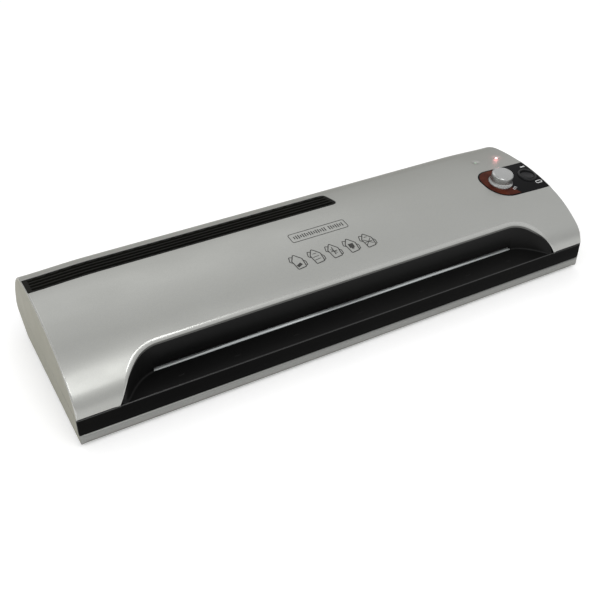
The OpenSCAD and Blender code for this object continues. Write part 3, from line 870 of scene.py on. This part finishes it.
def feed_tray(wall_top, across, inward):
    """Black tray: the walls of the recess, its floor, the entry slot and the band in front."""
    piece = Piece()
    top = wall_top - across * 0.3 - inward * 0.3
    plan = recess_edge(S_FRONT - INNER_RUN)
    y = np.minimum(cover_profile.at(np.maximum(plan[:, 1], S_FRONT))[0], RECESS_D)
    side = np.sign(plan[:, 0])
    reach = RECESS_HALF + corner_reach(y)
    straight = np.abs(plan[:, 0]) < RECESS_HALF
    flare = np.abs(plan[:, 0]) - reach
    foot_x = np.where(straight, plan[:, 0], side * (reach + 0.3 + 0.7 * flare))
    foot_y = np.maximum(y, 0.6) + 0.3
    foot = np.stack([foot_x, foot_y, floor_z(foot_y)], axis=1)
    middle = np.abs(foot_x) <= SLOT_HALF + 0.2
    first, last = np.flatnonzero(middle)[[0, -1]]
    sideways = np.where(straight, 0, side * (RECESS_HALF - np.abs(foot_x)))
    toward = unit(np.stack([sideways, RECESS_D - RECESS_R - y, 0 * y], axis=1))
    toward[straight] = [0, -1, 0]
    for part in (slice(0, first + 1), slice(last, len(plan))):
        rows = [top[part], (top[part] + foot[part]) / 2]
        lift = np.clip(top[part, 2:] - foot[part, 2:], 0.05, 1.5)
        for sine, cosine in quarter():
            rows.append(foot[part] + lift * (toward[part] * (1 - cosine) + [0, 0, 1 - sine]))
        piece.grid(rows)
    part = slice(first, last + 1)
    nose = 0.5
    over = foot[part] + [0, 0, SLOT_HIGH + nose]
    rows = [top[part], (top[part] + over) / 2]
    rows += [over + [0, nose * (1 - cosine), -nose * sine] for sine, cosine in quarter()]
    rows.append(rows[-1] + [0, SLOT_DEEP, 0])
    piece.grid(rows)
    for corner in foot[[first, last]]:
        side_low = np.array([corner - [0, 1, 0], corner + [0, SLOT_DEEP, 0]])
        piece.grid([side_low, side_low + [0, 0, SLOT_HIGH + 0.3]], flip=corner[0] > 0)
    band(piece)
    for x in (-146, -102, -53, 3.5, 61, 108, 151):
        size_mark(piece, x, 11.0)
    # Tray black, and its copies that paint in light: darker on the band, lighter and glossier on the lip.
    paints = (BLACK, BAND_SHADE_BLACK, LIP_HIGHLIGHT_BLACK)
    piece.make("feed_tray_shell", "black_plastic", "feed_tray", paints=paints)


def band(piece):
    """The band across the front, its rolled lip and the floor of the recess behind it."""
    foot = RECESS_HALF + RECESS_R + FLARE - 2
    end = HALF - 0.02
    corner = 0.6
    lip = 0.6
    under = 0.4
    x = np.concatenate([[end, end], np.linspace(end, end - corner, 6)[1:],
                        np.linspace(end - 5, foot + 2, 5), np.linspace(foot, foot - 8, 9),
                        np.linspace(foot - 14, 0, 24)])
    x = np.concatenate([-x, x[::-1][1:]])
    open_part = np.abs(x) < foot
    top = np.where(open_part, FLOOR_Z, SPLIT - 0.08)
    curve = np.clip(np.abs(x) - (end - corner), 0, corner)
    start = corner - np.sqrt(np.maximum(corner**2 - curve**2, 0))
    start[[0, -1]] = WALL
    face = [(start + under * (1 - sine), np.full(len(x), BAND_LOW + under * (1 - cosine)))
            for sine, cosine in quarter(3)]
    face += [(start, (BAND_LOW + top - lip) / 2), (start, top - lip)]
    fold = [(start + lip * (1 - cosine), top - lip * (1 - sine)) for sine, cosine in quarter()]
    floor = fold[-1:]
    for y in (3.0, 6.0, 12.0, RECESS_D, 26.0, 34.0):
        floor.append((np.full(len(x), y), top + np.where(open_part, floor_z(y) - FLOOR_Z, 0)))
    # The band's face takes the darker copy of the black for painted shade, the lip the lighter one for a painted
    # highlight line.
    for finish, rows in ((BAND, face), (LIP, fold), (TRAY, floor)):
        piece.finish = finish
        piece.grid([np.stack([x, y, z], axis=1) for y, z in rows])


def size_mark(piece, x, y):
    """A faint raised tick with a short foot, moulded in the floor of the tray."""
    high = 0.22
    for cx, cy, half_x, half_y in ((x, y, 0.45, 2.4), (x, y - 2.2, 2.2, 0.4)):
        outline = rounded_box(cx - half_x, cx + half_x, cy - half_y, cy + half_y, 0.3)
        centre = np.array([cx, cy])
        rows = []
        for grow, lift in ((1.25, 0.0), (1.0, high * 0.8), (0.8, high), (0.02, high)):
            ring = centre + (outline - centre) * grow
            rows.append(np.column_stack([ring, floor_z(ring[:, 1]) + lift]))
        piece.grid(rows, closed=True)


def base_profile():
    """The closed outline of the base: undercut back, flat underside, skirt and step for the band.

    Also returns the arc length on the underside less the distance back, which is the same all along.
    """
    toe = 0.8
    slope = math.degrees(math.atan2(15, 20))
    behind = [(0, MID - EDGE_R), (EDGE_R, -90), (0, 5.6), (2.0, slope - 180), (0, 22.8), (4.0, -180)]
    back = Profile((MID, SPLIT), 0, behind)
    under_y, under_z = back.end
    front = [(0, under_y - toe), (toe, -270), (0, BAND_LOW - under_z - toe - 0.3), (0.3, -360),
             (0, STEP - 0.3), (-0.2, -270), (0, SPLIT - BAND_LOW - 0.4), (0.2, -360), (0, MID)]
    return Profile((MID, SPLIT), 0, behind + front), back.length + under_y


def base():
    """The lower tray of the case, with its cooling slots and the hole for the gland."""
    piece = Piece()
    profile, s_under = base_profile()
    skin = Skin(profile)
    total = profile.length - (profile.end[0] - MID)

    def end_radius(s):
        """Radius of the rounded end, larger below the joint with the cover."""
        return EDGE_R + 0.45 * smooth((SPLIT - 2 - profile.at(s)[1]) / 12)

    s = np.linspace(MID - EDGE_R - INNER_RUN, total - MID + STEP + INNER_RUN, 160)
    right = np.column_stack([HALF - end_radius(s), s])
    outer = np.concatenate([right, (right * [-1, 1])[::-1]])
    holes = []
    for x in 18.0 * np.arange(-9, 10):
        for y0, y1 in ((56, 78), (84, 106)):
            slot = rounded_box(x - 1.5, x + 1.5, s_under - y0, s_under - y1, 1.4, 6.0)
            holes.append(rim(piece, skin, slot, 0.3, WALL - 0.3)[0])
    fill(piece, skin, [outer, *holes], (9.0, 3.0))
    around = np.linspace(0, total, 360, endpoint=False)
    gland = from_row(sum(cad_corners("mains_gland")) / 2 / MM)
    hole = rim(piece, Plate(1), circle(gland[1], gland[2], 7.7, 48, True), 0.3, 2.2)[0]
    cap(piece, skin, Plate(1), around, end_radius(around), [hole])
    cap(piece, skin, Plate(-1), around, end_radius(around))
    # The base takes a darker copy of the silver for painted shade, and the end paint on its flat ends.
    paints = (BASE_SHADE_SILVER, BASE_SHADE_SILVER, END_SHADE_SILVER)
    piece.make("base_shell", "silver", "base", paints=paints)


def vent_strip():
    """Black vent strip with four long grooves between raised lands."""
    piece = Piece()
    left, right, front, back = VENT
    s_front, s_back = float(s_at(front)), float(s_at(back))
    pitch = (s_back - s_front) / 5
    sides = np.array([0.9, 1.1, 1.3, 1.5])
    margin = left + 3.2

    def grooves(x, s):
        """Depth of the four grooves, which stop short of the strip's ends."""
        row = (s - s_front) / pitch
        offset = np.abs(row - np.clip(np.round(row), 1, 4)) * pitch
        slant = right - 2.0 - (s - s_front) * 0.12
        run = smooth(x - margin - 0.4) * smooth((slant - x) / 1.4)
        return 0.35 + 2.2 * run * (1 - smooth((offset - 0.95) / 0.45))

    skin = Skin(cover_profile, relief=grooves, bent=True)
    edge = rim(piece, skin, plan_loop(vent_corners(-0.12), 2.0), 0.25, 1.2)[0]
    offsets = np.concatenate([-sides[::-1], [0], sides])
    across = np.concatenate([s_front + pitch * row + offsets for row in range(1, 5)])
    along = np.concatenate([margin + np.array([0, 0.5, 1.0, 1.6]), np.arange(left + 8, right - 9, 5.0),
                            np.arange(right - 8, right, 0.6)])
    dots = np.stack(np.meshgrid(along, across), axis=-1).reshape(-1, 2)
    dots = dots[clear_of(dots, edge, 0.3)]
    fill(piece, skin, [edge], (400.0, 400.0), dots)
    piece.make("vent_strip", "black_plastic", "vent_grille", paints=[VENT_BLACK])


def control_panel():
    """Gloss black panel, let into the cover, with a hole under the rocker."""
    piece = Piece()
    edge = rim(piece, crown_skin, plan_loop(panel_corners(-0.05), 1.5), 0.3, 1.0, level=-0.05)[0]
    hole = circle(ROCKER_X, s_at(CONTROL_Y), 7.4, 60, True)
    fill(piece, crown_skin, [edge, hole], (2.5, 2.5), depth=-0.05)
    piece.make("control_panel_face", "gloss_black", "control_panel")


def dial_scale():
    """Smoked red scale ring, open towards the rocker."""
    piece = Piece()
    inner = 8.0
    turns = np.linspace(math.radians(56), math.radians(296), 90)
    centre = np.array([DIAL_X, float(s_at(CONTROL_Y))])
    ways = np.stack([np.cos(turns), np.sin(turns)], axis=1)
    inset = plan_loop(panel_corners(-1.2), 0.5) - centre
    bearing = np.arctan2(inset[:, 1], inset[:, 0]) % (2 * math.pi)
    order = np.argsort(bearing)
    outer = np.interp(turns, bearing[order], np.linalg.norm(inset, axis=1)[order])
    loop = np.concatenate([centre + ways * outer[:, None], (centre + ways * inner)[::-1]])
    edge = rim(piece, crown_skin, cut_up(loop, 1.0, True), 0.2, 0.3, level=-0.25)[0]
    fill(piece, crown_skin, [edge], (1.6, 1.6), depth=-0.25)
    piece.make("dial_scale", "ring_red", "dial_ring")


def dial_knob():
    """Silver knob: a flared skirt, a near-straight grip and a bevelled flat top."""
    piece = Piece()
    axis = np.array(joints["dial_turn"]["axis"])
    side = np.array([1.0, 0, 0])
    spot = Spot(DIAL_PLACE, side, np.cross(axis, side), axis)
    outline = rounded([(10.2, -0.6, 0), (10.9, -0.2, 0.3), (10.7, 0.9, 0.4), (9.5, 2.7, 3.0),
                       (9.3, 8.6, 0.9), (8.0, 9.4, 0.6), (7.2, 9.3, 0.5), (0.02, 9.2, 0)],
                      closed=False)
    turned(piece, spot, cut_up(outline, 1.6))
    piece.make("dial_knob_cap", "knob_silver", "dial_knob", body="dial")


def rocker():
    """Round power rocker: a raised bezel fixed to the panel and a tipped, dished cap."""
    spot = spot_on_skin(ROCKER_X, CONTROL_Y)
    bezel = Piece()
    turned(bezel, spot, rounded([(8.6, -0.2, 0), (8.3, 1.2, 0.6), (7.3, 1.5, 0.5),
                                 (6.55, 1.0, 0.4), (6.45, -4.5, 0)], closed=False))
    turned(bezel, spot, [(6.6, -4.4), (3.0, -4.4), (0.02, -4.4)])
    bezel.make("rocker_bezel", "black_plastic", "rocker_case", paints=[BEZEL])
    cap_piece = Piece()
    dish = [(6.0 * t, -0.6 + 1.0 * t * t) for t in np.linspace(1, 0.003, 12)]
    outline = [(5.95, -2.6), (6.1, -0.8), (6.15, 0.2), *dish]
    turned(cap_piece, spot, outline, tilt=-8)
    cap_piece.make("rocker_cap_face", "gloss_black", "rocker_cap", body="power_rocker", paints=[BEZEL])


def lamp(name, node, x, slot):
    """A small domed lens in its hollow."""
    piece = Piece()
    spot = spot_on_skin(x, LAMP_Y)
    dome = [(LAMP_R * math.cos(t), -0.75 + 0.65 * math.sin(t)) for t in np.linspace(0, 1.56, 10)]
    turned(piece, spot, [(LAMP_R, -2.4), *dome], count=40)
    piece.make(name, slot, node)


def stroke(piece, path, width, closed=False, depth=-0.06):
    """A printed line of even width on the crown, through points given in plan."""
    path = np.array(path)
    path = np.stack([path[:, 0], s_at(path[:, 1])], axis=1)
    aside = run_and_right(path, closed)[1] * width / 2
    rows = [path - aside, path + aside]
    points, _, _, normals = crown_skin.axes(*np.concatenate(rows).T, depth)
    piece.add(points, normals, strip_faces(2, len(path), closed))


def printed_marks():
    """Plain marks in place of the printed labels: a boxed row of bars and five small signs."""
    piece = Piece()
    stroke(piece, rounded_box(-24, 27, 66, 76, 1.6, 5.0), 0.65, closed=True)
    for i in range(23):
        if i != 15:
            x = -20.4 + 2.0 * i
            tall = 2.2 if i % 3 else 1.5
            stroke(piece, [(x, 71 - tall), (x, 71 + tall)], 0.95)
    for i, x in enumerate((-30.8, -14.6, 1.3, 17.2, 32.6)):
        sign(piece, x, 46.6, i)
    piece.make("printed_marks", "black_plastic", paints=[INK])


def sign(piece, x, y, kind):
    """One small sign: two crossed sheets and a plain mark that differs from sign to sign."""
    sheet = rounded([(x - 3.0, y - 7.2, 0.9), (x + 4.2, y - 6.4, 0.9), (x + 4.6, y + 1.6, 0.9),
                     (x - 0.6, y + 7.6, 0.9), (x - 4.4, y + 1.6, 0.9)], step=3.0)
    stroke(piece, sheet, 0.8, closed=True)
    behind = [(-2.6, 5.2, 0), (-4.9, 6.0, 0.5), (-6.2, 1.4, 0.5), (-4.4, -0.2, 0)]
    beside = [(4.3, -5.4, 0), (5.8, -5.4, 0.5), (6.0, -1.6, 0.5), (4.6, -0.2, 0)]
    for corners in (behind, beside):
        line = rounded([(x + dx, y + dy, radius) for dx, dy, radius in corners], closed=False)
        stroke(piece, line, 0.7)
    marks = [
        [(-2.4, -4.4, 1.8, -2.6, 2.6)],
        [(-2.8, -3.6, 2.6, -3.0, 0.5), (-3.0, -0.6, 2.4, -0.2, 0.5), (-1.8, 2.6, 1.4, 2.6, 0.5)],
        [(-0.2, -4.0, -0.2, 3.6, 0.8), (-2.8, -0.6, 2.8, -0.6, 0.7), (-2.2, 2.0, 1.8, -3.0, 0.6)],
        [(-2.2, -0.4, 2.2, -0.4, 4.4), (-1.0, -3.2, 1.0, -3.2, 1.4)],
        [(-3.0, -4.6, 3.2, 1.4, 0.6), (-3.4, 1.2, 3.2, -4.0, 0.6), (-3.2, -1.6, 3.4, -1.6, 0.6),
         (-1.6, 3.4, 1.2, 3.4, 0.6)],
    ][kind]
    for x0, y0, x1, y1, width in marks:
        stroke(piece, [(x + x0, y + y0), (x + x1, y + y1)], width)


def panel_marks():
    """Plain pale marks by the controls: a bar and a ring for the rocker, ticks for the dial."""
    piece = Piece()
    x, y = ROCKER_X + 5.6, CONTROL_Y + 12.4
    stroke(piece, [(x - 2.6, y), (x + 2.6, y)], 1.6, depth=-0.12)
    x, y = ROCKER_X + 4.8, CONTROL_Y - 10.9
    ring = rounded_box(x - 3.2, x + 3.2, y - 1.4, y + 1.4, 1.3, 5.0)
    stroke(piece, ring, 0.8, closed=True, depth=-0.12)
    for turn in np.radians([-52, -60, -68]):
        ends = np.array([DIAL_X, CONTROL_Y]) + np.outer([12.2, 14.6], [np.cos(turn), np.sin(turn)])
        stroke(piece, ends, 0.7, depth=-0.34)
    piece.make("panel_marks", "label_paper", paints=[PALE_INK])


def feet():
    """Four rubber feet with a rounded rim and a dished sole."""
    piece = Piece()
    outline = rounded([(6.9, 1.0, 0), (7.0, -FOOT_H + 0.4, 0.5), (6.2, -FOOT_H, 0.4),
                       (5.0, -FOOT_H, 0.3), (4.6, -FOOT_H + 0.6, 0.3), (0.02, -FOOT_H + 0.6, 0)],
                      closed=False)
    low, high = cad_corners("feet")
    for x in (low[0] + 7.0, high[0] - 7.0):
        for y in (low[1] + 7.0, high[1] - 7.0):
            turned(piece, Spot([x, y + MID, 0], *np.eye(3)), outline[::-1], count=64)
    piece.make("rubber_feet", "rubber_black", "feet")


def slab(piece, outline, level, rise):
    """A thin plate with softened edges that stands up from its level, or hangs if rise is negative."""
    centre = outline.mean(axis=0)
    rings = [(outline - unit(outline - centre) * inset, part)
             for inset, part in ((0.0, 0.0), (0.0, 0.6), (0.12, 0.9), (0.35, 1.0))]
    rings.append((centre + (outline - centre) * 0.01, 1.0))
    rows = [np.column_stack([ring, np.full(len(ring), level + rise * part)]) for ring, part in rings]
    piece.grid(rows, flip=rise < 0, closed=True)


def guide_strip():
    """Bright strip on the tray floor inside the slot."""
    piece = Piece()
    high = floor_z(RECESS_D)
    half = SLOT_HALF - 0.4
    slab(piece, rounded_box(-half, half, RECESS_D - 0.2, RECESS_D + 12, 0.4, 5.0), high - 0.1, 0.5)
    piece.make("guide_strip_face", "guide_metal", "guide_strip")


def rating_label():
    """Blank label under the base."""
    piece = Piece()
    low, high = cad_corners("rating_plate")
    slab(piece, rounded_box(low[0], high[0], low[1] + MID, high[1] + MID, 1.5, 5.0), 0.05, -0.2)
    piece.make("rating_label", "label_paper", "rating_plate")


# ---- stage


def floor():
    """A wide, pale, faintly glowing floor."""
    size = 12.0
    mesh = bpy.data.meshes.new("floor")
    corners = [(-size, -size, 0), (size, -size, 0), (size, size, 0), (-size, size, 0)]
    mesh.from_pydata(corners, [], [(0, 1, 2, 3)])
    pale = surface("pale_floor", 0.9, 0.93, (0.7, 0.9), gloss=0.1, glow=0.28)
    mesh.materials.append(pale)
    thing = add_object("floor", mesh)


def surroundings():
    """A plain studio: dim at the horizon, bright above it and softer overhead."""
    world = bpy.data.worlds.new("studio")
    world.use_nodes = True
    tree = world.node_tree
    way = add_node(tree, "TexCoord", {}, "Generated")
    up = add_node(tree, "SeparateXYZ", {"Vector": way}, "Z")
    ramp = tree.nodes.new("ShaderNodeValToRGB")
    ramp.color_ramp.elements.new(0.7)
    for element, value in zip(ramp.color_ramp.elements, (0.4, 0.88, 0.6)):
        element.color = (value, value, value, 1)
    feed(tree, ramp, {"Fac": up})
    feed(tree, tree.nodes["Background"], {"Color": ramp.outputs["Color"]})
    bpy.context.scene.world = world
    bpy.context.scene.view_settings.view_transform = "Standard"


def softbox(name, place, aim, size, watts):
    """A rectangular soft light."""
    light = bpy.data.lights.new(name, "AREA")
    light.shape = "RECTANGLE"
    light.size, light.size_y = size
    light.energy = watts
    way = Vector(aim) - Vector(place)
    turn = way.to_track_quat("-Z", "Y").to_matrix().to_4x4()
    add_object(name, light).matrix_world = Matrix.Translation(place) @ turn


def lamp_glow():
    """The pink light that the lit lamp throws on the cover round it."""
    light = bpy.data.lights.new("lamp_glow", "POINT")
    light.color = (1.0, 0.3, 0.32)
    light.energy = 0.0007
    light.shadow_soft_size = 0.002
    height = 3.0
    add_object("lamp_glow", light).location = to_row(spot_on_skin(LAMPS[1], LAMP_Y).put((0, 0, height)))


def camera():
    """The view of the photograph: from the front left and above, with a long lens."""
    data = bpy.data.cameras.new("camera")
    data.lens = 51.4
    data.sensor_width = 36.0
    thing = add_object("camera", data)
    right = Vector((0.8717, -0.4900, 0.0)).normalized()
    forward = Vector((0.3960, 0.7044, -0.5890)).normalized()
    up = right.cross(forward)
    rotation = Matrix((right, up, -forward)).transposed()
    thing.matrix_world = Matrix.Translation((-0.29733, -0.50864, 0.42457)) @ rotation.to_4x4()
    bpy.context.scene.camera = thing


dress_cad_nodes()
feed_tray(*cover())
base()
vent_strip()
control_panel()
dial_scale()
dial_knob()
rocker()
lamp("ready_lens", "lamp_ready", LAMPS[0], "lamp_green")
lamp("power_lens", "lamp_power", LAMPS[1], "lamp_pink")
printed_marks()
panel_marks()
feet()
guide_strip()
rating_label()
floor()
surroundings()
softbox("front_box", (-0.06, -0.62, 1.2), (-0.1, -0.05, 0.04), (0.5, 0.28), 2.9)
softbox("left_box", (-1.1, -0.35, 1.2), (-0.22, 0, 0.05), (0.5, 0.4), 2)
softbox("back_box", (0.2, 1.3, 1.5), (0, 0, 0), (1.4, 0.7), 1.8)
lamp_glow()
camera()
